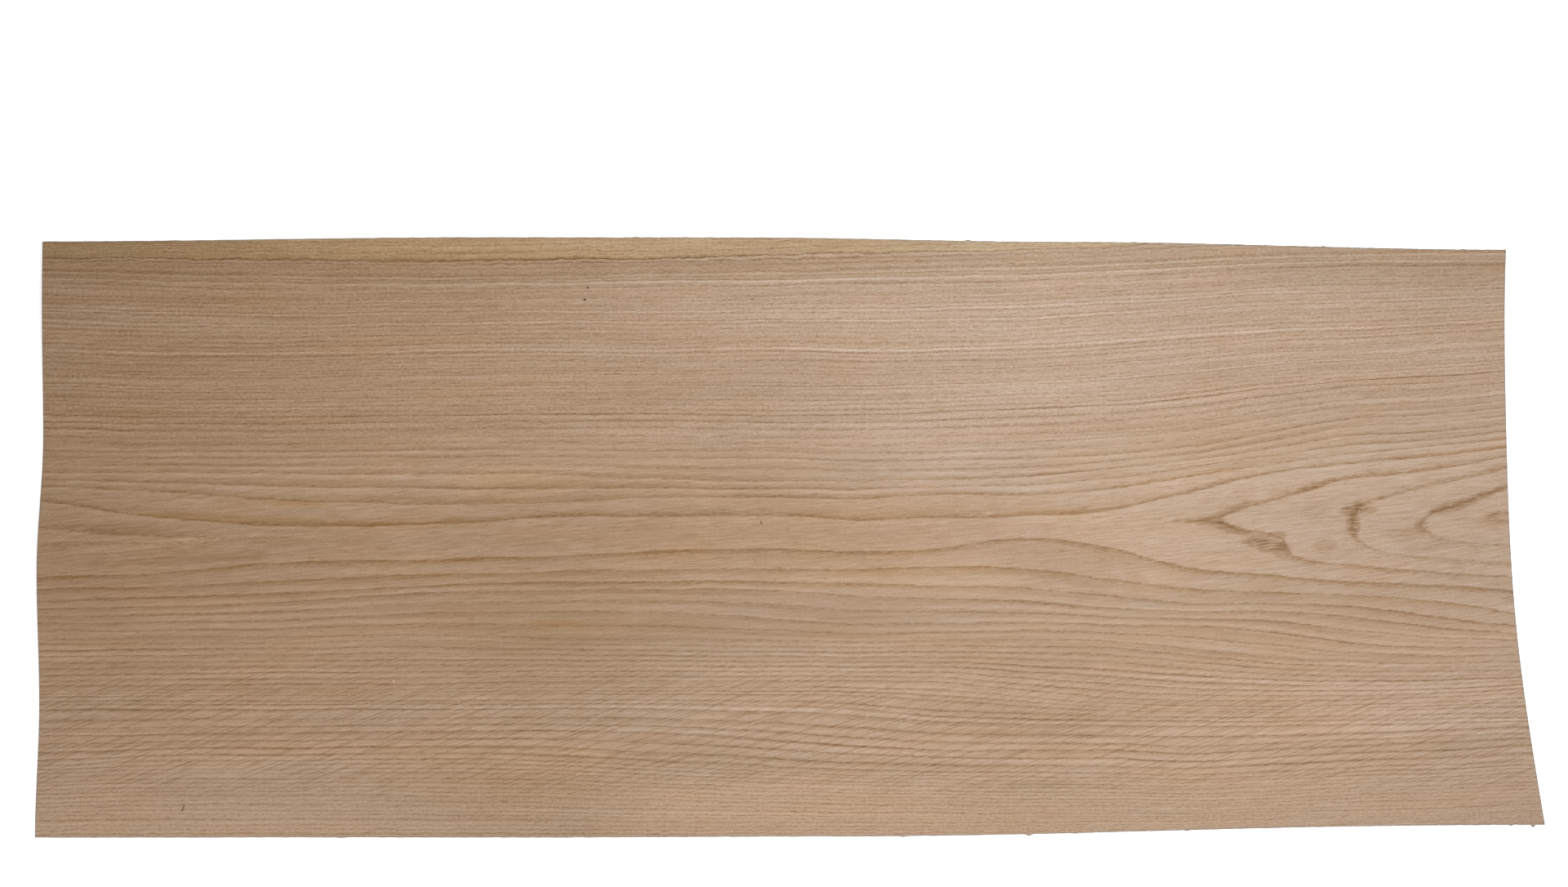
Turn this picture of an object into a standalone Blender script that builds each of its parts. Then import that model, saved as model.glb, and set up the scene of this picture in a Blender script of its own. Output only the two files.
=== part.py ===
"""Crown-cut oak veneer leaf, lying face up on a floor.

The leaf is one slice off a log: a single skin of wood, about as thick as card, with nothing laid on it.
Its long edges are clipped along the grain, its left end is cut nearly square, and its right end follows a
long sweeping arc. The middle of the leaf lies flat, and the two dried-out ends lift off the floor in
shallow waves.

Metres. X runs along the grain, Y across it and Z up. The origin is the middle of the leaf's overall
rectangle, at the floor.
"""

import math

import bmesh
import bpy

# The overall rectangle that the leaf just fits, and its thickness
LEAF_LENGTH = 1.177
LEAF_WIDTH = 0.469
VENEER_THICKNESS = 0.0006

# How far each clipped edge lies inside the overall rectangle, at stations along it. A station of -1 is the
# edge's left or lower end, and +1 its right or upper end.
UPPER_EDGE_INSETS = ((-1.0, 0.0035), (-0.42, 0.0), (-0.05, 0.0), (0.40, 0.0035), (1.0, 0.0096))
LOWER_EDGE_INSETS = ((-1.0, 0.0006), (-0.35, 0.0), (0.05, 0.0008), (1.0, 0.0108))
LEFT_END_INSETS = ((-1.0, 0.0), (-0.55, 0.0021), (-0.12, 0.0012), (0.35, 0.0052), (1.0, 0.0054))

# The right end's arc: its radius, and how far above the middle line the cut reaches deepest into the leaf
END_ARC_RADIUS = 2.12
END_ARC_DEEPEST_Y = 0.136

# The waves of each end: how far they run into the leaf, how high they stand, and their pitch and first
# crest across the width
LEFT_WAVE_REACH = 0.290
LEFT_WAVE_HEIGHT = 0.0035
LEFT_WAVE_PITCH = 0.210
LEFT_WAVE_CREST_Y = -0.024
RIGHT_WAVE_REACH = 0.260
RIGHT_WAVE_HEIGHT = 0.0045
RIGHT_WAVE_PITCH = 0.300
RIGHT_WAVE_CREST_Y = -0.215

# How finely the curved surface is divided
CELLS_ALONG = 56
CELLS_ACROSS = 24

# Sawn oak, dry and unfinished
OAK_COLOUR = (0.485, 0.337, 0.231, 1.0)
OAK_ROUGHNESS = 0.62
SHARP_EDGE_ANGLE = math.radians(30.0)


def ease(share):
    """Rises from 0 to 1 with level ends."""
    share = min(max(share, 0.0), 1.0)
    return share * share * (3.0 - 2.0 * share)


def inset_at(stations, where):
    """The inset at a station, eased from each listed point to the next."""
    for (start, first), (end, second) in zip(stations, stations[1:]):
        if where <= end:
            return first + (second - first) * ease((where - start) / (end - start))
    return stations[-1][1]


def arc_end_x(y):
    """X of the right end's concave arc, which meets the overall rectangle at the lower right corner."""
    def bow(height):
        return math.sqrt(END_ARC_RADIUS**2 - (height - END_ARC_DEEPEST_Y) ** 2)

    lower_corner_y = -LEAF_WIDTH / 2 + LOWER_EDGE_INSETS[-1][1]
    return LEAF_LENGTH / 2 + bow(lower_corner_y) - bow(y)


def outline_point(along, across):
    """The point of the leaf at along and across, each from -1 to 1, between its four clipped edges."""
    lower_y = -LEAF_WIDTH / 2 + inset_at(LOWER_EDGE_INSETS, along)
    upper_y = LEAF_WIDTH / 2 - inset_at(UPPER_EDGE_INSETS, along)
    y = lower_y + (upper_y - lower_y) * (across + 1.0) / 2.0
    left_x = -LEAF_LENGTH / 2 + inset_at(LEFT_END_INSETS, across)
    right_x = arc_end_x(y)
    x = left_x + (right_x - left_x) * (along + 1.0) / 2.0
    return x, y


def wave_height(into_end, y, height, pitch, crest_y):
    """Height of an end's waves, which swell towards the cut and never dip under the floor."""
    crest = 0.5 + 0.5 * math.cos(2.0 * math.pi * (y - crest_y) / pitch)
    return height * ease(into_end) * crest


def underside_height(x, y):
    """How far the underside lifts off the floor."""
    half = LEAF_LENGTH / 2
    into_left = 1.0 - (x + half) / LEFT_WAVE_REACH
    into_right = 1.0 - (half - x) / RIGHT_WAVE_REACH
    left = wave_height(into_left, y, LEFT_WAVE_HEIGHT, LEFT_WAVE_PITCH, LEFT_WAVE_CREST_Y)
    right = wave_height(into_right, y, RIGHT_WAVE_HEIGHT, RIGHT_WAVE_PITCH, RIGHT_WAVE_CREST_Y)
    return left + right


def oak_material():
    """Bare oak: warm, pale brown and matt."""
    material = bpy.data.materials.new("bare_oak")
    material.use_nodes = True
    shader = material.node_tree.nodes["Principled BSDF"]
    shader.inputs["Base Color"].default_value = OAK_COLOUR
    shader.inputs["Roughness"].default_value = OAK_ROUGHNESS
    shader.inputs["Metallic"].default_value = 0.0
    return material


def veneer_mesh():
    """The leaf's underside as a grid between its clipped edges, thickened upwards to the veneer."""
    sheet = bmesh.new()
    bmesh.ops.create_grid(sheet, x_segments=CELLS_ALONG, y_segments=CELLS_ACROSS, size=1.0)
    for vertex in sheet.verts:
        x, y = outline_point(vertex.co.x, vertex.co.y)
        vertex.co = (x, y, underside_height(x, y))
    underside = sheet.faces[:]
    raised = bmesh.ops.extrude_face_region(sheet, geom=underside, use_keep_orig=True)
    skin = [item for item in raised["geom"] if isinstance(item, bmesh.types.BMVert)]
    bmesh.ops.translate(sheet, verts=skin, vec=(0.0, 0.0, VENEER_THICKNESS))
    bmesh.ops.recalc_face_normals(sheet, faces=sheet.faces[:])
    mesh = bpy.data.meshes.new("veneer_sheet")
    sheet.to_mesh(mesh)
    sheet.free()
    mesh.shade_smooth()
    mesh.set_sharp_from_angle(angle=SHARP_EDGE_ANGLE)
    return mesh


for leftover in list(bpy.data.objects):
    bpy.data.objects.remove(leftover)

veneer = bpy.data.objects.new("veneer_sheet", veneer_mesh())
veneer.data.materials.append(oak_material())
bpy.context.scene.collection.objects.link(veneer)
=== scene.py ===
"""A leaf of crown-cut oak veneer, seen from straight above on a white floor. Metres, +Z up."""

import math

import bmesh
import bpy
import numpy as np
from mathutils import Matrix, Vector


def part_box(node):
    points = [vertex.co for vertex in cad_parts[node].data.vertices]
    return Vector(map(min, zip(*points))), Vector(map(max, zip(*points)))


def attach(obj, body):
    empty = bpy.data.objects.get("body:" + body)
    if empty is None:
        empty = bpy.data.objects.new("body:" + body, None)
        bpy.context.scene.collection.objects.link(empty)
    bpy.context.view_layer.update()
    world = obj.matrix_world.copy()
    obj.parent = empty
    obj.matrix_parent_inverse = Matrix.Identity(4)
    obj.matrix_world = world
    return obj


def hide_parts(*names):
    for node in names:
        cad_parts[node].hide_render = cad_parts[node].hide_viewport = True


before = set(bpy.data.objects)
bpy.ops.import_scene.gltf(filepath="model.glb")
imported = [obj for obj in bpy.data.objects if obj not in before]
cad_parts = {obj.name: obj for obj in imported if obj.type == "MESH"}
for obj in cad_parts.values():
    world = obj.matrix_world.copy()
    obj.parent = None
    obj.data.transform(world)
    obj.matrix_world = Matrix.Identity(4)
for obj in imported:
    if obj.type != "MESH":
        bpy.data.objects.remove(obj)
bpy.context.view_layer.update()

MILLIMETRE = 0.001

# The veneer leaf: its blank
# One slice off an oak log, 0.6 mm thick. Its long edges are clipped, its left end is cut nearly square and
# its right end on a long arc, and both ends have dried into shallow waves.
leaf_low, leaf_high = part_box("veneer_sheet")
LEAF_LENGTH = leaf_high[0] - leaf_low[0]
LEAF_WIDTH = leaf_high[1] - leaf_low[1]
VENEER_THICKNESS = 0.0006

UPPER_EDGE_INSETS = ((-1.0, 0.0035), (-0.42, 0.0), (-0.05, 0.0), (0.40, 0.0035), (1.0, 0.0096))
LOWER_EDGE_INSETS = ((-1.0, 0.0006), (-0.35, 0.0), (0.05, 0.0008), (1.0, 0.0108))
LEFT_END_INSETS = ((-1.0, 0.0), (-0.55, 0.0021), (-0.12, 0.0012), (0.35, 0.0052), (1.0, 0.0054))
END_ARC_RADIUS = 2.12
END_ARC_DEEPEST_Y = 0.136

LEFT_WAVE_REACH = 0.290
LEFT_WAVE_HEIGHT = 0.0035
LEFT_WAVE_PITCH = 0.210
LEFT_WAVE_CREST_Y = -0.024
RIGHT_WAVE_REACH = 0.260
RIGHT_WAVE_HEIGHT = 0.0045
RIGHT_WAVE_PITCH = 0.300
RIGHT_WAVE_CREST_Y = -0.215

CELLS_ALONG = 336
CELLS_ACROSS = 134
RIM_WIDTH = 0.0016
CROWDING_AT_ARCHES = 0.24
CROWDING_IN_MIDDLE = 0.30
SHARP_EDGE_ANGLE = math.radians(30.0)

# The grid runs from -1 to 1 each way, and a vertex past this share of it lies on the leaf's edge
ON_EDGE = 0.9999
EDGE_ROUGHNESS = 0.00007

# Splinters that the clipping left on the long edges: each as its X and how far it stands out of the upper
# edge, or if negative out of the lower edge, in mm
SPLINTERS = (
    (139.0, 0.9), (418.0, 0.6), (527.0, 0.6), (268.0, 0.5), (-120.0, 0.5), (186.0, -1.4), (222.0, -0.6),
    (579.5, -2.4), (563.0, -0.7), (312.0, -0.6), (88.0, -0.6), (-352.0, -0.5),
)


def ease(share):
    """Rises from 0 to 1 with level ends."""
    share = np.clip(share, 0.0, 1.0)
    return share * share * (3.0 - 2.0 * share)


def eased_inset(stations, where):
    """Insets of a clipped edge, eased from each listed point to the next."""
    places = np.array([place for place, inset in stations])
    insets = np.array([inset for place, inset in stations])
    before = np.clip(np.searchsorted(places, where) - 1, 0, len(places) - 2)
    share = (where - places[before]) / (places[before + 1] - places[before])
    return insets[before] + (insets[before + 1] - insets[before]) * ease(share)


def arc_end_x(y):
    """X of the right end's concave arc at each Y."""
    lower_corner_y = -LEAF_WIDTH / 2 + LOWER_EDGE_INSETS[-1][1]
    lower_bow = math.sqrt(END_ARC_RADIUS**2 - (lower_corner_y - END_ARC_DEEPEST_Y) ** 2)
    return LEAF_LENGTH / 2 + lower_bow - np.sqrt(END_ARC_RADIUS**2 - (y - END_ARC_DEEPEST_Y) ** 2)


def leaf_outline(along, across):
    """Points of the leaf at along and across, each from -1 to 1, between its four clipped edges."""
    lower_y = -LEAF_WIDTH / 2 + eased_inset(LOWER_EDGE_INSETS, along)
    upper_y = LEAF_WIDTH / 2 - eased_inset(UPPER_EDGE_INSETS, along)
    y = lower_y + (upper_y - lower_y) * (across + 1.0) / 2.0
    left_x = -LEAF_LENGTH / 2 + eased_inset(LEFT_END_INSETS, across)
    x = left_x + (arc_end_x(y) - left_x) * (along + 1.0) / 2.0
    return x, y


def end_waves(into_end, y, height, pitch, crest_y):
    """Height of an end's waves, which swell towards the cut."""
    return height * ease(into_end) * (0.5 + 0.5 * np.cos(2.0 * math.pi * (y - crest_y) / pitch))


def leaf_lift(x, y):
    """How far the underside lifts off the floor."""
    into_left = 1.0 - (x + LEAF_LENGTH / 2) / LEFT_WAVE_REACH
    into_right = 1.0 - (LEAF_LENGTH / 2 - x) / RIGHT_WAVE_REACH
    left = end_waves(into_left, y, LEFT_WAVE_HEIGHT, LEFT_WAVE_PITCH, LEFT_WAVE_CREST_Y)
    right = end_waves(into_right, y, RIGHT_WAVE_HEIGHT, RIGHT_WAVE_PITCH, RIGHT_WAVE_CREST_Y)
    return left + right


def grid_lines(share, closeness, rim):
    """Moves a grid's even lines, from -1 to 1, to where closeness puts them, and leaves a narrow rim."""
    next_to_edge = np.isclose(np.abs(share), np.unique(np.round(share, 5))[-2], atol=1e-4)
    return np.where(next_to_edge, np.sign(share) * (1.0 - rim), closeness(share))


def closer_to_arches(share):
    """Lines that stand closer together towards the right end."""
    return share + CROWDING_AT_ARCHES * (1.0 - share**2)


def closer_to_middle(share):
    """Lines that stand closer together in the middle of the width."""
    return share - CROWDING_IN_MIDDLE * np.sin(math.pi * share) / math.pi


blank = bmesh.new()
bmesh.ops.create_grid(blank, x_segments=CELLS_ALONG, y_segments=CELLS_ACROSS, size=1.0)
spots = np.array([vertex.co for vertex in blank.verts])
along_share = grid_lines(spots[:, 0], closer_to_arches, 2.0 * RIM_WIDTH / LEAF_LENGTH)
across_share = grid_lines(spots[:, 1], closer_to_middle, 2.0 * RIM_WIDTH / LEAF_WIDTH)
leaf_x, leaf_y = leaf_outline(along_share, across_share)
on_rim = np.max(np.abs(spots[:, :2]), axis=1) > ON_EDGE
on_long_edge = np.abs(spots[:, 1]) > ON_EDGE
clipped_roughly = np.random.default_rng(11).normal(0.0, EDGE_ROUGHNESS, size=len(spots))
leaf_y = leaf_y + clipped_roughly * on_long_edge
for x, reach in SPLINTERS:
    # A vertex that isn't on this edge counts as a metre further off
    elsewhere = spots[:, 1] * math.copysign(1.0, reach) < ON_EDGE
    nearest = np.argmin(np.abs(leaf_x - x * MILLIMETRE) + elsewhere)
    leaf_y[nearest] += reach * MILLIMETRE

# The rim's vertices are marked here, and the material paints a thin shadow line on them
rim_layer = blank.verts.layers.float.new("leaf_rim")
for vertex, x, y, z, rim in zip(blank.verts, leaf_x, leaf_y, leaf_lift(leaf_x, leaf_y), on_rim):
    vertex.co = (x, y, z)
    vertex[rim_layer] = float(rim)

raised = bmesh.ops.extrude_face_region(blank, geom=blank.faces[:], use_keep_orig=True)
skin = [item for item in raised["geom"] if isinstance(item, bmesh.types.BMVert)]
bmesh.ops.translate(blank, verts=skin, vec=(0.0, 0.0, VENEER_THICKNESS))
bmesh.ops.recalc_face_normals(blank, faces=blank.faces[:])
leaf_mesh = bpy.data.meshes.new("oak_leaf")
blank.to_mesh(leaf_mesh)
blank.free()
leaf_mesh.shade_smooth()
leaf_mesh.set_sharp_from_angle(angle=SHARP_EDGE_ANGLE)
oak_leaf = bpy.data.objects.new("oak_leaf", leaf_mesh)
bpy.context.scene.collection.objects.link(oak_leaf)

# The veneer leaf: how the rings of the log run through it
# A slice near the bark side cuts the growth rings at a slant. Each ring shows as a long line, and where the
# slice leaves a ring again, the line turns back on itself in a pointed arch.

# X of the stations at which the heights of the rings are listed, closer together towards the arches
RING_STATIONS = [-0.585 + 0.096 * step for step in range(7)] + [0.055 + 0.064 * step for step in range(9)]

# Rings above the middle band, each as its number, counted outwards, and its heights at the stations, in mm
RINGS_ABOVE = (
    (4, (31, 15.5, 10, 10.5, 16.5, 18, 18.5, 14, 17, 18, 22.5, 36.5, 51.5, 58.5, 65, 72)),
    (5, (41, 36.5, 29.5, 27.5, 27, 31.5, 32, 31.5, 34.5, 34, 38.5, 48.5, 58.5, 65.5, 72, 79)),
    (7, (51, 51, 50.5, 50.5, 50, 46.5, 44.5, 44.5, 46, 48, 53.5, 60, 69.5, 80, 82.5, 89.5)),
    (9, (63, 62, 62.5, 63, 64, 62.5, 62.5, 60, 60.5, 62, 65.5, 71.5, 82.5, 94, 96.5, 103.5)),
    (15, (96.5, 94, 94.5, 95.5, 96.5, 97, 95.5, 96.5, 98.5, 101, 103.5, 109, 117, 122.5, 126.5, 131)),
    (28, (144, 141, 141.5, 143.5, 145, 144, 146, 144, 145, 146.5, 150.5, 155.5, 159.5, 161.5, 165, 169)),
    (42, (199, 196, 193.5, 194, 195, 196, 197, 198.5, 199.5, 201, 203.5, 206.5, 210.5, 212, 212.5, 213)),
    (48, (219, 219, 218, 216.5, 218, 219.5, 221.5, 223, 224.5, 226, 228, 231, 233, 234, 235, 235.5)),
    (54, (231, 232, 233, 234, 234, 235, 236, 237.5, 238.5, 240.5, 242.5, 245.5, 248, 249.5, 250, 250.5)),
)

# Rings below the middle band, in the same way
RINGS_BELOW = (
    (4, (-32.5, -28.5, -20, -19, -16.5, -12, -10, -12, -9.5, -2, -9, -25, -30.5, -35.5, -38.5, -42.5)),
    (5, (-41, -38.5, -34, -30.5, -27.5, -25, -25.5, -25.5, -23.5, -25, -33, -41, -43.5, -45.5, -50, -60)),
    (6, (-50.5, -47, -44, -39, -35.5, -35, -35, -36.5, -38.5, -40, -46, -51.5, -52, -54, -62.5, -70)),
    (7, (-56, -54, -50.5, -44, -42, -41, -41.5, -46.5, -48, -50.5, -55.5, -58, -58, -62.5, -70, -75.5)),
    (9, (-67, -66.5, -64.5, -60, -58.5, -58.5, -64, -67.5, -67.5, -66.5, -68.5, -69.5, -74, -82.5, -86,
         -85.5)),
    (11, (-79, -78, -78, -76, -79, -80.5, -81.5, -82.5, -81, -80.5, -81, -87, -94, -97.5, -98.5, -97.5)),
    (19, (-117.5, -116, -115, -115, -113, -113, -112.5, -112.5, -113.5, -119.5, -125.5, -128, -128, -127,
          -125, -121)),
    (24, (-130, -130, -130, -130, -130, -130, -131, -134, -139, -141.5, -142.5, -143, -143, -142, -141,
          -140)),
    (28, (-155.5, -154, -153, -152, -151, -153, -159, -163.5, -166.5, -166.5, -166.5, -169, -166.5, -162.5,
          -160, -156.5)),
    (31, (-175, -171, -170.5, -169.5, -170.5, -175, -180, -182.5, -183.5, -184.5, -185, -186.5, -183.5, -180,
          -177.5, -174)),
    (42, (-210, -208.5, -208.5, -209.5, -210.5, -212.5, -213.5, -214.5, -215, -215.5, -215.5, -215.5, -215,
          -213, -211, -208.5)),
    (49, (-235.5, -235.5, -235.5, -235.5, -235.5, -235.5, -235, -234, -233.5, -232, -231, -229.5, -228, -226,
          -223.5, -220.5)),
)

# The middle line of the band: X and Y of its points in mm, and how deep in the rings the slice runs there.
# Where the depth falls through a whole number, that ring's arch has its point.
MIDDLE_LINE = (
    (-585, 2, 2.7), (-489, -1, 2.85), (-406, -1, 3.05), (-298, -4, 3.4), (-107, 2, 3.5), (85, 1, 3.5),
    (212, 9, 3.5), (298, 14, 3.4), (330, 14.5, 3.0), (400, 14, 2.6), (427, 13, 2.16), (439, 13, 2.0),
    (470, 10, 1.4), (491, 8, 1.0), (528, 13, 0.35), (545, 16, 0.0), (595, 17, -0.6),
)

# The arches at the right: each as its ring, then X and Y of its upper and its lower arm, in mm
ARCHES = (
    (0, ((545, 16), (553, 19), (561, 20), (595, 24)), ((545, 16), (553, 13), (561, 12), (595, 8))),
    (1, ((491, 8), (494.5, 13), (501, 21), (516, 25), (529, 29.5), (544, 35), (557, 39.5), (595, 48)),
        ((491, 8), (497, 4.5), (503, 0.5), (514, -2.5), (529, -4.5), (563, -7), (595, -9))),
    (2, ((439, 13), (441, 23), (445, 26), (459, 30.5), (475, 35), (491, 39.5), (510, 44.5), (535, 50),
         (559, 55.5), (595, 61)),
        ((439, 13), (441, 0.5), (443, -5), (452, -10), (467, -13), (486, -15.5), (519, -18.5), (561, -20.5),
         (595, -22))),
    (3, ((330, 14.5), (340, 19), (358, 25), (381, 31), (403, 37.5), (422, 44), (441, 48), (463, 49.5),
         (491, 53), (529, 58.5), (557, 63.5), (595, 68)),
        ((330, 14.5), (336, 11), (351, 5), (370, 3), (385, -1), (387, -9), (392, -16.5), (407, -20.5),
         (435, -22.5), (463, -25), (491, -27), (519, -28.5), (561, -31), (595, -34))),
)

# The least distance between two lines that a ring number is shared out over
THINNEST_SPAN = 1e-6


def smooth_curve(stations, heights, where):
    """Heights read from a smooth curve through the listed points."""
    slopes = np.gradient(heights, stations)
    before = np.clip(np.searchsorted(stations, where) - 1, 0, len(stations) - 2)
    width = stations[before + 1] - stations[before]
    share = np.clip((where - stations[before]) / width, 0.0, 1.0)
    rise = heights[before + 1] - heights[before]
    start = slopes[before] * width * share * (1.0 - share) ** 2
    end = slopes[before + 1] * width * share**2 * (1.0 - share)
    return heights[before] + rise * ease(share) + start - end


def ring_number(x, y):
    """How many rings out from the middle of the log each point of the leaf lies."""
    middle_x, middle_y, middle_depth = (np.array(column) for column in zip(*MIDDLE_LINE))
    depth = np.interp(x, middle_x * MILLIMETRE, middle_depth)
    centre = np.interp(x, middle_x * MILLIMETRE, middle_y * MILLIMETRE)
    number = depth.copy()
    for rings, side, arm_column in ((RINGS_ABOVE, 1.0, 1), (RINGS_BELOW, -1.0, 2)):
        inner_y, inner_number = centre, depth
        for arch in ARCHES:
            arm_x, arm_y = (np.array(column) * MILLIMETRE for column in zip(*arch[arm_column]))
            opened = x > arm_x[0]
            outer_y = np.where(opened, np.interp(x, arm_x, arm_y), centre)
            outer_number = np.where(opened, arch[0], depth)
            span = np.maximum((outer_y - inner_y) * side, THINNEST_SPAN)
            number += (outer_number - inner_number) * np.clip((y - inner_y) * side / span, 0.0, 1.0)
            inner_y, inner_number = outer_y, outer_number
        for ring, heights in rings:
            outer_y = smooth_curve(np.array(RING_STATIONS), np.array(heights) * MILLIMETRE, x)
            span = np.maximum((outer_y - inner_y) * side, THINNEST_SPAN)
            outermost = ring == rings[-1][0]
            share = np.clip((y - inner_y) * side / span, 0.0, None if outermost else 1.0)
            number += (ring - inner_number) * share
            inner_y, inner_number = outer_y, ring
    return number


corners = np.empty(len(leaf_mesh.vertices) * 3)
leaf_mesh.vertices.foreach_get("co", corners)
corners = corners.reshape(-1, 3)
step = 0.5 * MILLIMETRE
corner_x, corner_y = corners[:, 0], corners[:, 1]
slope_x = (ring_number(corner_x + step, corner_y) - ring_number(corner_x - step, corner_y)) / (2.0 * step)
slope_y = (ring_number(corner_x, corner_y + step) - ring_number(corner_x, corner_y - step)) / (2.0 * step)
for name, parts in (
    ("grain_flow", (corner_x, corner_y, ring_number(corner_x, corner_y))),
    ("ring_slope", (slope_x, slope_y, np.hypot(slope_x, slope_y))),
):
    layer = leaf_mesh.attributes.new(name, "FLOAT_VECTOR", "POINT")
    layer.data.foreach_set("vector", np.column_stack(parts).ravel())

# The veneer leaf: oak, sliced and left bare
# Each ring starts with a dark band of open pores and ends in pale, dense wood. Thin rays cross the lower
# part on the slant, and the wood is browner towards the left.
OAK_PALE = (0.542, 0.389, 0.277)
OAK_WARM = (0.554, 0.357, 0.216)

# What each stain multiplies the oak's red, green and blue by
RING_STAIN = (0.53, 0.40, 0.20)
GOLDEN_STAIN = (0.55, 0.37, 0.10)
GOLDEN_HAZE = (0.86, 0.76, 0.54)
BROWN_HAZE = (0.885, 0.86, 0.82)
PINK_HAZE = (1.02, 0.985, 0.955)
GREY_HAZE = (0.90, 0.88, 0.83)
LATE_WOOD = (1.18, 1.27, 1.40)
PORE_STAIN = (0.50, 0.39, 0.22)
RAY_STAIN = (0.66, 0.58, 0.46)
SAPWOOD_STAIN = (0.98, 0.985, 0.87)
SAPWOOD_EDGE_STAIN = (0.76, 0.72, 0.66)
# The rim's tint is not a stain but a painted shadow: a thin greyer, bluer line along the edge
RIM_PAINTED_SHADOW = (0.80, 0.91, 1.10)

# How far red, green and blue swing where the wood turns paler or darker
TONE_SWING = (1.0, 1.3, 1.8)

# How wide the dark early wood is, and how far its edges are torn along the fibres and across them
EARLY_WOOD_WIDTH = 0.0036
INNER_EARLY_WOOD_WIDTH = 0.62 * EARLY_WOOD_WIDTH
TEAR_ALONG = 0.007
TEAR_ACROSS = 0.0010

# The least and the most of a ring that its early wood takes up
LEAST_EARLY_SHARE = 0.12
MOST_EARLY_SHARE = 0.48

# The fibres rise to the right, most along the lower edge and in the arches, where they also bend upwards
FIBRE_LEAN_AT_TOP = math.radians(2.5)
FIBRE_LEAN_AT_BOTTOM = math.radians(6.3)
FIBRE_BEND = 0.07
FIBRES_BEND_FROM_X = 0.12

# The rays climb more steeply than the fibres
RAY_LEAN = math.radians(14.5)

# The most rings that the lists below can hold
RING_COUNT = 64

# Rings that stand out above and below the middle: each with how dark its early wood is and how pale its
# late wood is. The others are plain.
PLAIN_RING_ABOVE = (0.34, 0.25)
PLAIN_RING_BELOW = (0.77, 0.42)
RINGS_THAT_SHOW_ABOVE = {
    0: (0.15, 0.0), 1: (0.92, 0.0), 2: (0.88, 0.0), 3: (1.0, 0.0), 4: (1.2, 0.1), 5: (0.9, 0.3),
    6: (0.55, 0.2), 7: (0.9, 0.3), 8: (0.35, 0.2), 9: (0.9, 0.3), 14: (0.85, 0.3), 15: (1.0, 0.2),
    20: (0.4, 1.1), 21: (0.8, 0.2), 24: (0.8, 0.2), 28: (0.7, 2.4), 34: (0.4, 1.3), 36: (0.4, 1.4),
    42: (0.7, 1.8), 44: (0.4, 1.8), 47: (0.9, 0.8), 48: (1.7, 0.2),
}
RINGS_THAT_SHOW_BELOW = {
    0: (0.1, 0.0), 1: (0.25, 0.0), 2: (0.35, 0.0), 3: (0.85, 0.0), 4: (1.05, 0.1), 5: (0.8, 0.3),
    9: (0.8, 0.3), 10: (0.8, 0.3), 19: (0.9, 0.2), 24: (0.9, 1.1), 28: (1.15, 0.3), 29: (1.15, 0.4),
    31: (0.9, 0.5), 33: (0.9, 0.5), 42: (0.8, 0.6),
}


def add_node(tree, kind, **settings):
    """A new node with its settings made."""
    node = tree.nodes.new(kind)
    for name, value in settings.items():
        setattr(node, name, value)
    return node


def feed(tree, socket, value):
    """Links another node's output to a socket, or writes a plain value on it."""
    if isinstance(value, bpy.types.NodeSocket):
        tree.links.new(value, socket)
    else:
        socket.default_value = value


def calculate(tree, operation, *values):
    """The result of a Math node."""
    node = add_node(tree, "ShaderNodeMath", operation=operation)
    for socket, value in zip(node.inputs, values):
        feed(tree, socket, value)
    return node.outputs[0]


def product(tree, first, *others):
    """Values multiplied together."""
    for other in others:
        first = calculate(tree, "MULTIPLY", first, other)
    return first


def remap(tree, value, low, high, to_low=0.0, to_high=1.0, smooth=False):
    """A value moved from one range to another and held inside it."""
    node = add_node(tree, "ShaderNodeMapRange", interpolation_type="SMOOTHSTEP" if smooth else "LINEAR")
    for name, number in (("From Min", low), ("From Max", high), ("To Min", to_low), ("To Max", to_high)):
        feed(tree, node.inputs[name], number)
    feed(tree, node.inputs["Value"], value)
    return node.outputs["Result"]


def place(tree, across, up):
    """A vector from two numbers."""
    node = add_node(tree, "ShaderNodeCombineXYZ")
    feed(tree, node.inputs[0], across)
    feed(tree, node.inputs[1], up)
    return node.outputs[0]


def parts_of(tree, vector):
    """The X, Y and Z of a vector."""
    node = add_node(tree, "ShaderNodeSeparateXYZ")
    feed(tree, node.inputs[0], vector)
    return node.outputs


def read_layer(tree, name):
    """What the leaf's mesh keeps at each vertex under this name."""
    return add_node(tree, "ShaderNodeAttribute", attribute_name=name, attribute_type="GEOMETRY").outputs


def streaks(tree, along, across, length, width, detail=2.0, seed=0.0):
    """Soft streaks of about this length and width, from 0 to 1 about a middle of 0.5."""
    u = calculate(tree, "MULTIPLY_ADD", along, 1.0 / length, seed)
    v = product(tree, across, 1.0 / width)
    noise = add_node(tree, "ShaderNodeTexNoise", noise_dimensions="2D")
    feed(tree, noise.inputs["Vector"], place(tree, u, v))
    noise.inputs["Scale"].default_value = 1.0
    noise.inputs["Detail"].default_value = detail
    return noise.outputs["Fac"]


def wobble(tree, *where, **shape):
    """The same streaks about a middle of 0."""
    return calculate(tree, "SUBTRACT", streaks(tree, *where, **shape), 0.5)


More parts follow.
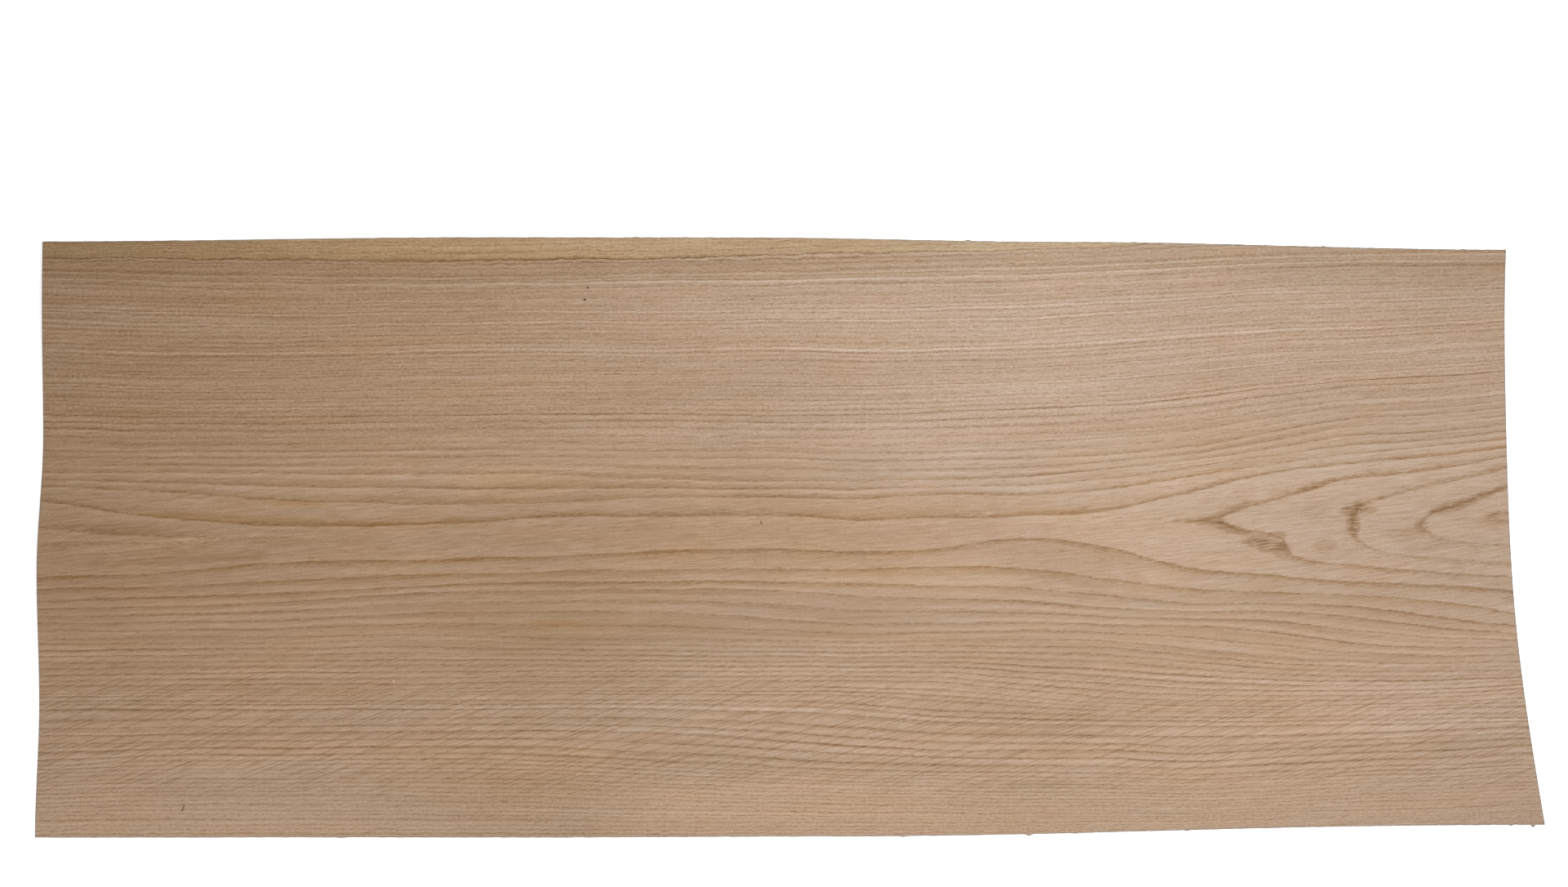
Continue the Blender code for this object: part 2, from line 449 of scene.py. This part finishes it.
def dashes(tree, along, across, pitch_along, pitch_across, length, width, seed=0.0):
    """Short separate dashes along the fibres, one to a cell, each 1 in its middle, and each cell's chance."""
    u = calculate(tree, "MULTIPLY_ADD", along, 1.0 / pitch_along, seed)
    v = product(tree, across, 1.0 / pitch_across)
    point = place(tree, u, v)
    cells = add_node(tree, "ShaderNodeTexVoronoi", voronoi_dimensions="2D", feature="F1")
    feed(tree, cells.inputs["Vector"], point)
    cells.inputs["Scale"].default_value = 1.0
    away = add_node(tree, "ShaderNodeVectorMath", operation="SUBTRACT")
    feed(tree, away.inputs[0], point)
    feed(tree, away.inputs[1], cells.outputs["Position"])
    off_x, off_y = parts_of(tree, away.outputs[0])[:2]
    off_along = calculate(tree, "ABSOLUTE", off_x)
    off_across = calculate(tree, "ABSOLUTE", off_y)
    half_length = 0.5 * length / pitch_along
    half_width = 0.5 * width / pitch_across
    ends = remap(tree, off_along, half_length * 0.5, half_length, 1.0, 0.0, smooth=True)
    sides = remap(tree, off_across, half_width * 0.3, half_width * 1.3, 1.0, 0.0, smooth=True)
    chance = add_node(tree, "ShaderNodeSeparateColor")
    feed(tree, chance.inputs[0], cells.outputs["Color"])
    return product(tree, ends, sides), chance.outputs[0]


def tint(tree, colour, stain, amount):
    """A colour multiplied by a stain, as far as amount says."""
    node = add_node(tree, "ShaderNodeMix", data_type="RGBA", blend_type="MULTIPLY", clamp_result=False)
    feed(tree, node.inputs["Factor"], amount)
    feed(tree, node.inputs[6], colour)
    feed(tree, node.inputs[7], stain if isinstance(stain, bpy.types.NodeSocket) else (*stain, 1.0))
    return node.outputs[2]


def tone(tree, colour, value, reach, strength):
    """A colour made paler and greyer, or darker and browner, as a value lies above or below 0.5."""
    factor = add_node(tree, "ShaderNodeVectorMath", operation="MULTIPLY_ADD")
    feed(tree, factor.inputs[0], product(tree, calculate(tree, "SUBTRACT", value, 0.5), reach))
    factor.inputs[1].default_value = [swing * strength for swing in TONE_SWING]
    factor.inputs[2].default_value = (1.0, 1.0, 1.0)
    toned = add_node(tree, "ShaderNodeVectorMath", operation="MULTIPLY")
    feed(tree, toned.inputs[0], colour)
    feed(tree, toned.inputs[1], factor.outputs[0])
    return toned.outputs[0]


def ring_table(tree, whole_ring, plain, rings):
    """How dark and how pale each ring is, read from a list of the rings that stand out."""
    node = add_node(tree, "ShaderNodeValToRGB")
    middle_of_stop = calculate(tree, "MULTIPLY_ADD", whole_ring, 1.0 / RING_COUNT, 0.5 / RING_COUNT)
    feed(tree, node.inputs[0], middle_of_stop)
    stops = node.color_ramp
    stops.interpolation = "CONSTANT"
    stops.elements.remove(stops.elements[1])
    stops.elements[0].color = (*rings.get(0, plain), 0.0, 1.0)
    for ring in range(1, RING_COUNT):
        if ring in rings or ring - 1 in rings:
            stop = stops.elements.new(ring / RING_COUNT)
            stop.color = (*rings.get(ring, plain), 0.0, 1.0)
    parts = add_node(tree, "ShaderNodeSeparateColor")
    feed(tree, parts.inputs[0], node.outputs["Color"])
    return parts.outputs[0], parts.outputs[1]


def blend(tree, share, low, high):
    """Between two numbers as share goes from 0 to 1."""
    node = add_node(tree, "ShaderNodeMix", data_type="FLOAT")
    for socket, value in zip((node.inputs[0], node.inputs[2], node.inputs[3]), (share, low, high)):
        feed(tree, socket, value)
    return node.outputs[0]


def between(tree, share, low, high):
    """Between two colours as share goes from 0 to 1."""
    node = add_node(tree, "ShaderNodeMix", data_type="RGBA")
    feed(tree, node.inputs["Factor"], share)
    node.inputs[6].default_value = (*low, 1.0)
    node.inputs[7].default_value = (*high, 1.0)
    return node.outputs[2]


def oval(tree, along, up, x, y, half_length, half_width, degrees=0.0):
    """A soft oval patch, 1 in its middle, at X and Y in mm, with its half length and half width in metres."""
    u = calculate(tree, "MULTIPLY_ADD", along, 1.0 / half_length, -x * MILLIMETRE / half_length)
    v = calculate(tree, "MULTIPLY_ADD", up, 1.0 / half_width, -y * MILLIMETRE / half_width)
    v = calculate(tree, "MULTIPLY_ADD", u, -math.tan(math.radians(degrees)) * half_length / half_width, v)
    away = calculate(tree, "ADD", product(tree, u, u), product(tree, v, v))
    return remap(tree, away, 0.1, 1.0, 1.0, 0.0, smooth=True)


grain = bpy.data.node_groups.new("oak_grain", "ShaderNodeTree")
for name, kind in (
    ("Colour", "NodeSocketColor"), ("Roughness", "NodeSocketFloat"), ("Height", "NodeSocketFloat"),
):
    grain.interface.new_socket(name, in_out="OUTPUT", socket_type=kind)
grain_result = add_node(grain, "NodeGroupOutput")

# Where a point lies along and up the leaf in metres, its ring number, and how fast that changes. From here
# on, a remap of ring runs between two ring numbers, and a remap of along or up between two places.
along, up, ring = parts_of(grain, read_layer(grain, "grain_flow")["Vector"])
slope_along, slope_up, slope = parts_of(grain, read_layer(grain, "ring_slope")["Vector"])

# Across the fibres, which lean and bend, and which side of the middle band the wood is on
lean = remap(
    grain, up, -LEAF_WIDTH / 2, LEAF_WIDTH / 2, math.tan(FIBRE_LEAN_AT_BOTTOM), math.tan(FIBRE_LEAN_AT_TOP)
)
bend = calculate(grain, "MAXIMUM", calculate(grain, "SUBTRACT", along, FIBRES_BEND_FROM_X), 0.0)
bend = product(grain, bend, bend, FIBRE_BEND)
across = calculate(grain, "SUBTRACT", calculate(grain, "SUBTRACT", up, bend), product(grain, along, lean))
above = remap(grain, up, 0.002, 0.008)

# Rings that wander a little, are torn along the fibres, and stand at uneven distances
high_up = product(grain, above, remap(grain, ring, 9.0, 13.0))
slow_wander = wobble(grain, along, across, length=0.070, width=0.014, seed=3.1)
slow_reach = product(grain, slope, remap(grain, ring, 46.5, 47.5, 0.0024, 0.0036))
torn_edge = wobble(grain, along, across, length=0.008, width=0.0010, seed=7.7)
fibre_slope = calculate(grain, "ABSOLUTE", calculate(grain, "MULTIPLY_ADD", slope_up, lean, slope_along))
torn_reach = calculate(grain, "MULTIPLY_ADD", fibre_slope, TEAR_ALONG, product(grain, slope, TEAR_ACROSS))
torn_reach = product(grain, torn_reach, remap(grain, ring, 9.0, 13.0, 1.0, 0.55))
scallops = wobble(grain, along, across, length=0.0085, width=0.0060, detail=1.0, seed=37.0)
scallop_reach = product(grain, slope, remap(grain, ring, 45.5, 46.8, 0.0, 0.0023))
for sway, reach in ((slow_wander, slow_reach), (torn_edge, torn_reach), (scallops, scallop_reach)):
    ring = calculate(grain, "MULTIPLY_ADD", sway, reach, ring)
spacing = add_node(grain, "ShaderNodeTexNoise", noise_dimensions="1D")
feed(grain, spacing.inputs["W"], ring)
spacing.inputs["Scale"].default_value = 0.62
spacing.inputs["Detail"].default_value = 0.0
uneven = remap(grain, ring, 10.0, 14.0, 0.0, blend(grain, above, 0.5, 0.9), smooth=True)
shift = product(grain, calculate(grain, "SUBTRACT", spacing.outputs["Fac"], 0.5), uneven)
ring = calculate(grain, "ADD", ring, shift)

# How much of each ring is early wood, and how far through a ring the wood is
swell = streaks(grain, along, ring, length=0.075, width=1.1, detail=1.0, seed=51.0)
swell = remap(grain, swell, 0.35, 0.65, 0.6, 1.5)
inner = product(grain, remap(grain, ring, 4.5, 5.0), remap(grain, ring, 11.0, 14.0, 1.0, 0.0))
early_width = blend(grain, inner, EARLY_WOOD_WIDTH, INNER_EARLY_WOOD_WIDTH)
early_width = product(grain, swell, early_width, remap(grain, ring, 4.4, 4.7, 1.2, 1.0))
early_share = calculate(grain, "MAXIMUM", product(grain, slope, early_width), LEAST_EARLY_SHARE)
early_share = calculate(grain, "MINIMUM", early_share, MOST_EARLY_SHARE)
ring = calculate(grain, "MULTIPLY_ADD", early_share, 0.35, ring)
through_ring = calculate(grain, "FRACT", ring)
whole_ring = calculate(grain, "FLOOR", ring)

# The dark early wood at the start of each ring, and its pale late wood
crest = product(grain, early_share, 0.20)
rise = remap(grain, through_ring, 0.0, crest, 0.0, 1.0, smooth=True)
tail = product(grain, early_share, remap(grain, ring, 4.0, 12.0, 1.2, 1.0))
core = remap(grain, through_ring, crest, product(grain, tail, 0.60), 0.55, 0.0, smooth=True)
fall = calculate(grain, "ADD", core, remap(grain, through_ring, crest, tail, 0.45, 0.0, smooth=True))
early_wood = product(grain, rise, fall)
late_wood = product(
    grain,
    remap(grain, through_ring, 0.40, 0.62, 0.0, 1.0, smooth=True),
    remap(grain, through_ring, 0.82, 1.0, 1.0, 0.0, smooth=True),
)

# How strongly each ring shows
dark_above, pale_above = ring_table(grain, whole_ring, PLAIN_RING_ABOVE, RINGS_THAT_SHOW_ABOVE)
dark_below, pale_below = ring_table(grain, whole_ring, PLAIN_RING_BELOW, RINGS_THAT_SHOW_BELOW)
ring_chance = add_node(grain, "ShaderNodeTexWhiteNoise", noise_dimensions="1D")
feed(grain, ring_chance.inputs["W"], whole_ring)
chance = remap(grain, ring_chance.outputs["Value"], 0.0, 1.0, 0.75, 1.25)
darkness = product(grain, blend(grain, above, dark_below, dark_above), chance)
paleness = product(grain, blend(grain, above, pale_below, pale_above), chance)
patchy = streaks(grain, along, whole_ring, length=0.200, width=0.37, seed=1.3)
patchy = remap(grain, patchy, 0.25, 0.7, 0.6, 1.2)
faint_left = blend(grain, remap(grain, ring, 3.6, 3.9), remap(grain, along, -0.30, 0.10, 0.08, 1.0), 1.0)
patchy = product(grain, patchy, faint_left)
pale_line = product(grain, late_wood, paleness, patchy)

# The dark lines look twisted like rope, and are calmer or fade in some parts of the leaf
rope = streaks(grain, along, across, length=0.0042, width=0.0010, detail=1.0, seed=21.0)
rope = remap(grain, rope, 0.36, 0.60, 0.62, 1.12)
upper_rings = product(
    grain, above, remap(grain, ring, 9.0, 14.0, 0.0, 1.0), remap(grain, ring, 46.0, 47.0, 1.0, 0.0)
)
lower_rings = product(
    grain, remap(grain, above, 0.0, 1.0, 1.0, 0.0), remap(grain, ring, 30.0, 38.0, 0.0, 1.0)
)
calm = product(
    grain,
    blend(grain, upper_rings, 1.0, remap(grain, along, -0.40, -0.05, 0.98, 0.74)),
    blend(grain, lower_rings, 1.0, remap(grain, along, 0.10, 0.35, 0.62, 0.52)),
)
top_line_fades = product(
    grain, remap(grain, ring, 46.8, 47.4), remap(grain, along, 0.09, 0.17, 0.0, 0.6, smooth=True)
)
may_fade = product(grain, remap(grain, ring, 4.5, 5.5), remap(grain, ring, 46.0, 47.0, 1.0, 0.3))
fading = streaks(grain, along, ring, length=0.110, width=0.8, detail=1.0, seed=71.0)
fading = remap(grain, fading, 0.36, 0.62, blend(grain, above, 0.60, 0.45), 1.15, smooth=True)
ring_line = product(
    grain, early_wood, darkness, patchy, rope, calm,
    remap(grain, top_line_fades, 0.0, 1.0, 1.0, 0.0),
    remap(grain, ring, 8.0, 12.0, 0.60, 1.0),
    remap(grain, along, -0.50, -0.10, 0.80, 1.0),
    blend(grain, upper_rings, 1.0, remap(grain, ring, 28.0, 31.0, 1.5, 0.9)),
    blend(grain, inner, 1.0, remap(grain, along, 0.05, 0.28, 0.38, 1.0)),
    blend(grain, may_fade, 1.0, fading),
)

# Open pores, thick in the early wood and sparse elsewhere
crowd = remap(grain, early_wood, 0.0, 0.9, 0.02, 0.9)
near_pores, near_chance = dashes(
    grain, along, across, pitch_along=0.0065, pitch_across=0.0011, length=0.0052, width=0.0006, seed=0.3
)
far_pores, far_chance = dashes(
    grain, along, across, pitch_along=0.0090, pitch_across=0.0015, length=0.0070, width=0.0006, seed=5.9
)
pores = calculate(
    grain, "MAXIMUM",
    product(grain, near_pores, calculate(grain, "LESS_THAN", near_chance, crowd)),
    product(grain, far_pores, calculate(grain, "LESS_THAN", far_chance, crowd)),
)

# Rays that cross the lower part on the slant
ray_across = calculate(grain, "MULTIPLY_ADD", along, -math.tan(RAY_LEAN), across)
long_rays = dashes(
    grain, along, ray_across, pitch_along=0.060, pitch_across=0.0048, length=0.050, width=0.0009, seed=2.2
)[0]
short_rays = dashes(
    grain, along, ray_across, pitch_along=0.042, pitch_across=0.0042, length=0.034, width=0.0008, seed=8.8
)[0]
lowest = remap(grain, up, -0.178, -0.212, 0.0, 1.0, smooth=True)
rays = product(
    grain, calculate(grain, "MAXIMUM", long_rays, short_rays),
    remap(grain, up, -0.060, -0.142, 0.0, 1.0, smooth=True), remap(grain, lowest, 0.0, 1.0, 1.0, 0.22),
)

# Pale and dark streaks, long ones along the rings and fine ones along the fibres
ring_streaks = streaks(grain, along, ring, length=0.260, width=0.55, seed=4.4)
ring_hairs = streaks(grain, along, ring, length=0.150, width=0.24, detail=1.0, seed=17.3)
wide_streaks = streaks(grain, along, ring, length=0.300, width=3.2, seed=31.0)
fibre_streaks = streaks(grain, along, across, length=0.045, width=0.0016, seed=6.1)
hair_streaks = streaks(grain, along, across, length=0.014, width=0.0007, detail=1.0, seed=9.2)
speckle = streaks(grain, along, across, length=0.0022, width=0.0013, detail=1.0, seed=61.0)
broad_bands = streaks(grain, along, across, length=0.350, width=0.045, seed=12.5)
blush = streaks(grain, along, across, length=0.120, width=0.020, seed=15.0)

# Colour: warmer towards the left and along the middle band
leftward = remap(grain, along, 0.25, -0.50, 0.0, 1.0, smooth=True)
low_down = remap(grain, up, -0.05, -0.20, 1.0, 0.55, smooth=True)
in_band = product(
    grain,
    remap(grain, up, -0.085, -0.025, 0.0, 1.0, smooth=True),
    remap(grain, up, 0.055, 0.010, 0.0, 1.0, smooth=True),
)
band_warmth = product(grain, in_band, remap(grain, along, 0.45, 0.05, 0.0, 0.75, smooth=True))
low_warmth = product(
    grain,
    remap(grain, up, -0.03, -0.08, 0.0, 0.45, smooth=True),
    remap(grain, along, 0.60, 0.35, 0.4, 1.0, smooth=True),
)
warmth = calculate(grain, "MAXIMUM", band_warmth, low_warmth)
warmth = calculate(grain, "MAXIMUM", product(grain, leftward, low_down), warmth)
colour = between(grain, warmth, OAK_PALE, OAK_WARM)
colour = tint(grain, colour, PINK_HAZE, remap(grain, blush, 0.4, 0.7))

# Browner areas: each as its X and Y in mm, its half length and half width, and how much browner it is
for *area, amount in (
    (-50, 2, 0.300, 0.060, 1.0), (180, -72, 0.380, 0.050, 0.70), (-150, -58, 0.300, 0.042, 0.70),
    (-5, 57, 0.150, 0.035, 0.60), (265, 70, 0.170, 0.032, 0.60), (440, 170, 0.260, 0.140, 0.60),
    (455, 8, 0.160, 0.040, 0.35), (-430, -20, 0.200, 0.040, 0.30), (302, -34, 0.180, 0.034, 0.50),
    (-170, -104, 0.120, 0.030, 0.60), (-30, 113, 0.170, 0.045, 0.45), (-480, -58, 0.150, 0.036, 0.50),
    (215, -16, 0.070, 0.030, 0.70), (190, 40, 0.120, 0.030, 0.50), (500, -50, 0.120, 0.034, 0.50),
    (150, -62, 0.180, 0.034, 0.40), (210, -132, 0.130, 0.030, 0.50), (-190, -212, 0.110, 0.030, 0.45),
):
    colour = tint(grain, colour, BROWN_HAZE, product(grain, oval(grain, along, up, *area), amount))

# Greyer wood just under the sapwood and in the upper right corner
under_sapwood = product(
    grain,
    remap(grain, ring, 42.2, 43.5, 0.0, above, smooth=True),
    remap(grain, ring, 47.9, 48.1, 1.0, 0.0, smooth=True),
)
upper_right = product(
    grain,
    remap(grain, up, 0.190, 0.220, 0.0, 1.0, smooth=True),
    remap(grain, along, 0.28, 0.42, 0.0, 1.0, smooth=True),
)
colour = tint(grain, colour, GREY_HAZE, calculate(grain, "MAXIMUM", under_sapwood, upper_right))

# The streaks, paler and darker than the wood about them
along_rings = product(grain, remap(grain, ring, 4.0, 6.0, 0.08, 1.0), calm)
fibre_reach = product(
    grain, remap(grain, ring, 3.5, 8.0, 1.7, blend(grain, above, 1.00, 1.20)),
    remap(grain, lowest, 0.0, 1.0, 1.0, 0.72),
)
speckle_reach = calculate(
    grain, "ADD", remap(grain, high_up, 0.0, 1.0, 1.0, 2.2), remap(grain, lowest, 0.0, 1.0, 0.0, 0.8)
)
inner_rings = product(grain, remap(grain, ring, 3.6, 4.0, 0.35, 1.0), remap(grain, ring, 7.0, 12.0, 1.0, 0.0))
for streak, reach, strength in (
    (broad_bands, 1.0, 0.06),
    (wide_streaks, product(grain, along_rings, 0.75), 0.24),
    (ring_streaks, product(grain, along_rings, blend(grain, above, 0.7, 1.0)), 0.30),
    (ring_hairs, along_rings, 0.27),
    (fibre_streaks, fibre_reach, 0.23),
    (hair_streaks, fibre_reach, 0.24),
    (speckle, speckle_reach, 0.20),
    (remap(grain, through_ring, 0.0, 0.9), inner_rings, 0.13),
):
    colour = tone(grain, colour, streak, reach, strength)

# The pale and dark line of each ring, golden next to the middle, and the pores and rays
colour = tint(grain, colour, LATE_WOOD, product(grain, pale_line, 0.7))
line_stain = between(grain, remap(grain, ring, 5.0, 10.0), GOLDEN_STAIN, RING_STAIN)
colour = tint(grain, colour, line_stain, product(grain, ring_line, 0.66))
golden_patch = streaks(grain, along, across, length=0.060, width=0.009, seed=81.0)
golden_patch = product(
    grain,
    remap(grain, ring, 3.8, 4.0, 0.25, 1.0),
    remap(grain, ring, 5.4, 7.0, 1.0, 0.0, smooth=True),
    remap(grain, through_ring, 0.02, 0.50, 1.0, 0.0, smooth=True),
    remap(grain, golden_patch, 0.46, 0.62, 0.1, 1.0),
)
colour = tint(grain, colour, GOLDEN_HAZE, product(grain, golden_patch, 0.55))
colour = tint(grain, colour, PORE_STAIN, product(grain, pores, 0.42))
colour = tint(grain, colour, RAY_STAIN, product(grain, rays, 0.62))

# The strip of sapwood along the upper edge, with a darker line at its start towards the left
sapwood = remap(grain, ring, 47.9, 48.3, 0.0, above, smooth=True)
colour = tint(grain, colour, SAPWOOD_STAIN, sapwood)
sapwood_edge = product(
    grain,
    remap(grain, ring, 47.75, 48.0, 0.0, above, smooth=True),
    remap(grain, ring, 48.1, 49.0, 1.0, 0.0, smooth=True),
    remap(grain, along, 0.02, 0.15, 0.50, 0.0, smooth=True),
)
colour = tint(grain, colour, SAPWOOD_EDGE_STAIN, sapwood_edge)

# Brown patches on and beside the arches, torn along the fibres: each as its X and Y in mm, its half length
# and half width, its lean in degrees, and how dark it is
tears = streaks(grain, along, across, length=0.010, width=0.0013, detail=3.0, seed=41.0)
tears = remap(grain, tears, 0.36, 0.62, 0.32, 1.15)
for *patch, amount in (
    (328, 13, 0.015, 0.0055, 0, 0.75), (311, 12.8, 0.021, 0.0024, 0, 0.75),
    (345, 6.8, 0.022, 0.0045, -15, 0.7), (345, 22.3, 0.022, 0.0034, 21, 0.45),
    (409, 40, 0.024, 0.0034, 17, 0.5), (373, -5.8, 0.019, 0.0075, -10, 0.8),
    (363, -3.4, 0.014, 0.0045, 0, 0.5), (385, -10, 0.008, 0.0090, 0, 0.6),
    (381, 1.7, 0.010, 0.0035, 0, 0.5), (440, 22, 0.013, 0.0060, 6, 0.9),
    (440, 10, 0.007, 0.0130, 0, 0.95), (451, 21, 0.011, 0.0045, 6, 0.5),
    (410, 21, 0.017, 0.0065, 4, 0.30), (418, -6, 0.012, 0.0080, 0, 0.40),
    (480, 2.6, 0.024, 0.0065, 4, 0.35), (497, -7.7, 0.022, 0.0055, 4, 0.30),
    (493, 9, 0.007, 0.0065, 0, 0.6), (518, 24.5, 0.026, 0.0050, 15, 0.85),
    (547, 35.4, 0.020, 0.0042, 18, 0.75), (546, 13.5, 0.015, 0.0045, 0, 0.30),
    (555, 18, 0.015, 0.0022, 6, 0.55),
):
    torn_patch = product(grain, oval(grain, along, up, *patch), tears)
    colour = tint(grain, colour, RING_STAIN, product(grain, torn_patch, 0.85 * amount))

# Soft brown, golden and pale stretches, and then pin-prick marks, a short scratch and a pale nick, given in
# the same way but each with a stain of its own
for *mark, stain in (
    (-527, 6.4, 0.060, 0.0060, -2, (0.88, 0.85, 0.80)),
    (-460, -17.0, 0.110, 0.0045, 3, (0.90, 0.87, 0.82)),
    (-489, -4.5, 0.110, 0.0036, 5, (1.14, 1.17, 1.22)),
    (-421, 14.5, 0.115, 0.0042, -2.6, (0.95, 0.91, 0.80)),
    (-300, 9.5, 0.090, 0.0038, 1, (0.96, 0.92, 0.83)),
    (-387, 27, 0.034, 0.0040, -3, (0.93, 0.87, 0.73)),
    (-183, -67, 0.030, 0.0036, 0, (0.93, 0.86, 0.72)),
    (-10, -216, 0.180, 0.0330, 0, (1.08, 1.07, 1.06)),
    (-216, 42, 0.070, 0.0180, 0, (1.07, 1.05, 1.01)),
    (-60, 45, 0.130, 0.0300, 0, (0.99, 0.97, 0.92)),
    (320, 68, 0.150, 0.0300, 4, (1.00, 0.975, 0.93)),
    (-180, -60, 0.150, 0.0350, 0, (0.965, 0.94, 0.885)),
    (-225, -180, 0.130, 0.0400, 0, (1.02, 0.99, 0.93)),
    (-450, -162, 0.150, 0.0250, 0, (1.065, 1.055, 1.05)),
    (477, -130, 0.120, 0.0360, 0, (1.05, 1.06, 1.10)),
    (130, 0, 0.120, 0.0260, 0, (1.01, 1.025, 1.085)),
    (-360, -46, 0.110, 0.0220, 0, (0.955, 0.95, 0.94)),
    (-230, 228, 0.260, 0.0110, 0, (1.10, 1.095, 1.09)),
    (470, 205, 0.150, 0.0280, 0, (0.965, 0.965, 0.965)),
    (-560, -45, 0.060, 0.0450, 0, (0.94, 0.94, 0.94)),
    (410, -44, 0.120, 0.0180, 0, (0.965, 0.95, 0.915)),
    (200, -188, 0.080, 0.0160, 0, (0.955, 0.955, 0.955)),
    (-157.8, 195.2, 0.0011, 0.0011, 0, (0.22, 0.20, 0.18)),
    (-160.3, 185.7, 0.0013, 0.0011, 0, (0.22, 0.20, 0.18)),
    (-28.1, 216.9, 0.0010, 0.0009, 0, (0.50, 0.44, 0.38)),
    (-29.3, 186.3, 0.0011, 0.0010, 0, (0.45, 0.38, 0.32)),
    (-22.3, 11.5, 0.0012, 0.0015, -50, (0.35, 0.30, 0.25)),
    (-473.4, -211.2, 0.0016, 0.0020, 65, (0.40, 0.36, 0.32)),
    (-309.4, -112.3, 0.0010, 0.0018, 0, (1.35, 1.35, 1.35)),
):
    colour = tint(grain, colour, stain, oval(grain, along, up, *mark))

# The rim: a painted shadow, a thin greyer and bluer line along the cut edge
painted_rim_shadow = remap(grain, read_layer(grain, "leaf_rim")["Fac"], 0.1, 0.7, 0.0, 1.0, smooth=True)
feed(grain, grain_result.inputs["Colour"], tint(grain, colour, RIM_PAINTED_SHADOW, painted_rim_shadow))

# Relief and gloss
height = product(grain, pores, -1.0)
height = calculate(grain, "MULTIPLY_ADD", ring_line, -0.35, height)
height = calculate(grain, "MULTIPLY_ADD", hair_streaks, 0.5, height)
feed(grain, grain_result.inputs["Height"], height)
feed(grain, grain_result.inputs["Roughness"], remap(grain, fibre_streaks, 0.3, 0.7, 0.56, 0.68))

RELIEF_STRENGTH = 0.35
RELIEF_DEPTH = 0.0002
oak_face = bpy.data.materials.new("oak_face")
oak_face.use_nodes = True
face_tree = oak_face.node_tree
face_shader = face_tree.nodes["Principled BSDF"]
face_grain = add_node(face_tree, "ShaderNodeGroup", node_tree=grain)
face_bump = add_node(face_tree, "ShaderNodeBump")
face_bump.inputs["Strength"].default_value = RELIEF_STRENGTH
face_bump.inputs["Distance"].default_value = RELIEF_DEPTH
feed(face_tree, face_bump.inputs["Height"], face_grain.outputs["Height"])
feed(face_tree, face_shader.inputs["Normal"], face_bump.outputs["Normal"])
feed(face_tree, face_shader.inputs["Base Color"], face_grain.outputs["Colour"])
feed(face_tree, face_shader.inputs["Roughness"], face_grain.outputs["Roughness"])
face_shader.inputs["Specular IOR Level"].default_value = 0.25
leaf_mesh.materials.append(oak_face)

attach(oak_leaf, "root")
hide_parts("veneer_sheet")

# The floor
# A plain white surface that the camera sees as white and that still takes the leaf's shadow.
FLOOR_SIZE = 8.0
FLOOR_BELOW_LEAF = 0.0002
FLOOR_GLOW = 0.72
floor_mesh = bpy.data.meshes.new("floor")
floor_blank = bmesh.new()
bmesh.ops.create_grid(floor_blank, x_segments=1, y_segments=1, size=FLOOR_SIZE / 2)
bmesh.ops.translate(floor_blank, verts=floor_blank.verts, vec=(0.0, 0.0, -FLOOR_BELOW_LEAF))
floor_blank.to_mesh(floor_mesh)
floor_blank.free()
floor = bpy.data.objects.new("floor", floor_mesh)
bpy.context.scene.collection.objects.link(floor)
white_floor = bpy.data.materials.new("white_floor")
white_floor.use_nodes = True
floor_tree = white_floor.node_tree
floor_shader = floor_tree.nodes["Principled BSDF"]
floor_shader.inputs["Base Color"].default_value = (0.80, 0.80, 0.80, 1.0)
floor_shader.inputs["Roughness"].default_value = 0.9
floor_shader.inputs["Specular IOR Level"].default_value = 0.0
floor_shader.inputs["Emission Color"].default_value = (1.0, 1.0, 1.0, 1.0)
floor_rays = add_node(floor_tree, "ShaderNodeLightPath")
seen = floor_rays.outputs["Is Camera Ray"]
for ray in ("Is Glossy Ray", "Is Transmission Ray"):
    seen = calculate(floor_tree, "MAXIMUM", seen, floor_rays.outputs[ray])
feed(floor_tree, floor_shader.inputs["Emission Strength"], product(floor_tree, seen, FLOOR_GLOW))
floor_mesh.materials.append(white_floor)

# The light
# A soft lamp hangs above the right half of the leaf, so that the left end lies in weaker light. A small
# one beyond the lower left corner and a pale surround fill the rest.
SURROUND_STRENGTH = 0.20
for name, hung_at, size, power in (
    ("soft_lamp", (0.32, 0.11, 1.05), 0.45, 8.8),
    ("corner_lamp", (-0.67, -0.64, 0.50), 0.25, 2.0),
):
    lamp_light = bpy.data.lights.new(name, "AREA")
    lamp_light.shape = "DISK"
    lamp_light.size = size
    lamp_light.energy = power
    lamp = bpy.data.objects.new(name, lamp_light)
    lamp.location = hung_at
    lamp.visible_camera = False
    bpy.context.scene.collection.objects.link(lamp)
surround = bpy.data.worlds.new("surround")
surround.use_nodes = True
surround_tree = surround.node_tree
background = surround_tree.nodes["Background"]
background.inputs["Color"].default_value = (1.0, 1.0, 1.0, 1.0)
surround_rays = add_node(surround_tree, "ShaderNodeLightPath")
surround_strength = remap(
    surround_tree, surround_rays.outputs["Is Camera Ray"], 0.0, 1.0, SURROUND_STRENGTH, 1.0
)
feed(surround_tree, background.inputs["Strength"], surround_strength)
bpy.context.scene.world = surround

# The camera
# It looks straight down from the height at which the frame takes in 1.225 m of the leaf's plane.
FRAME_WIDTH = 1.225
CAMERA_X = -0.0045
CAMERA_Y = 0.0734
LENS = 0.050
SENSOR_WIDTH = 0.036
camera_data = bpy.data.cameras.new("camera")
camera_data.lens = LENS / MILLIMETRE
camera_data.sensor_width = SENSOR_WIDTH / MILLIMETRE
camera = bpy.data.objects.new("camera", camera_data)
camera.location = (CAMERA_X, CAMERA_Y, VENEER_THICKNESS + FRAME_WIDTH * LENS / SENSOR_WIDTH)
bpy.context.scene.collection.objects.link(camera)
bpy.context.scene.camera = camera
bpy.context.scene.view_settings.view_transform = "Standard"
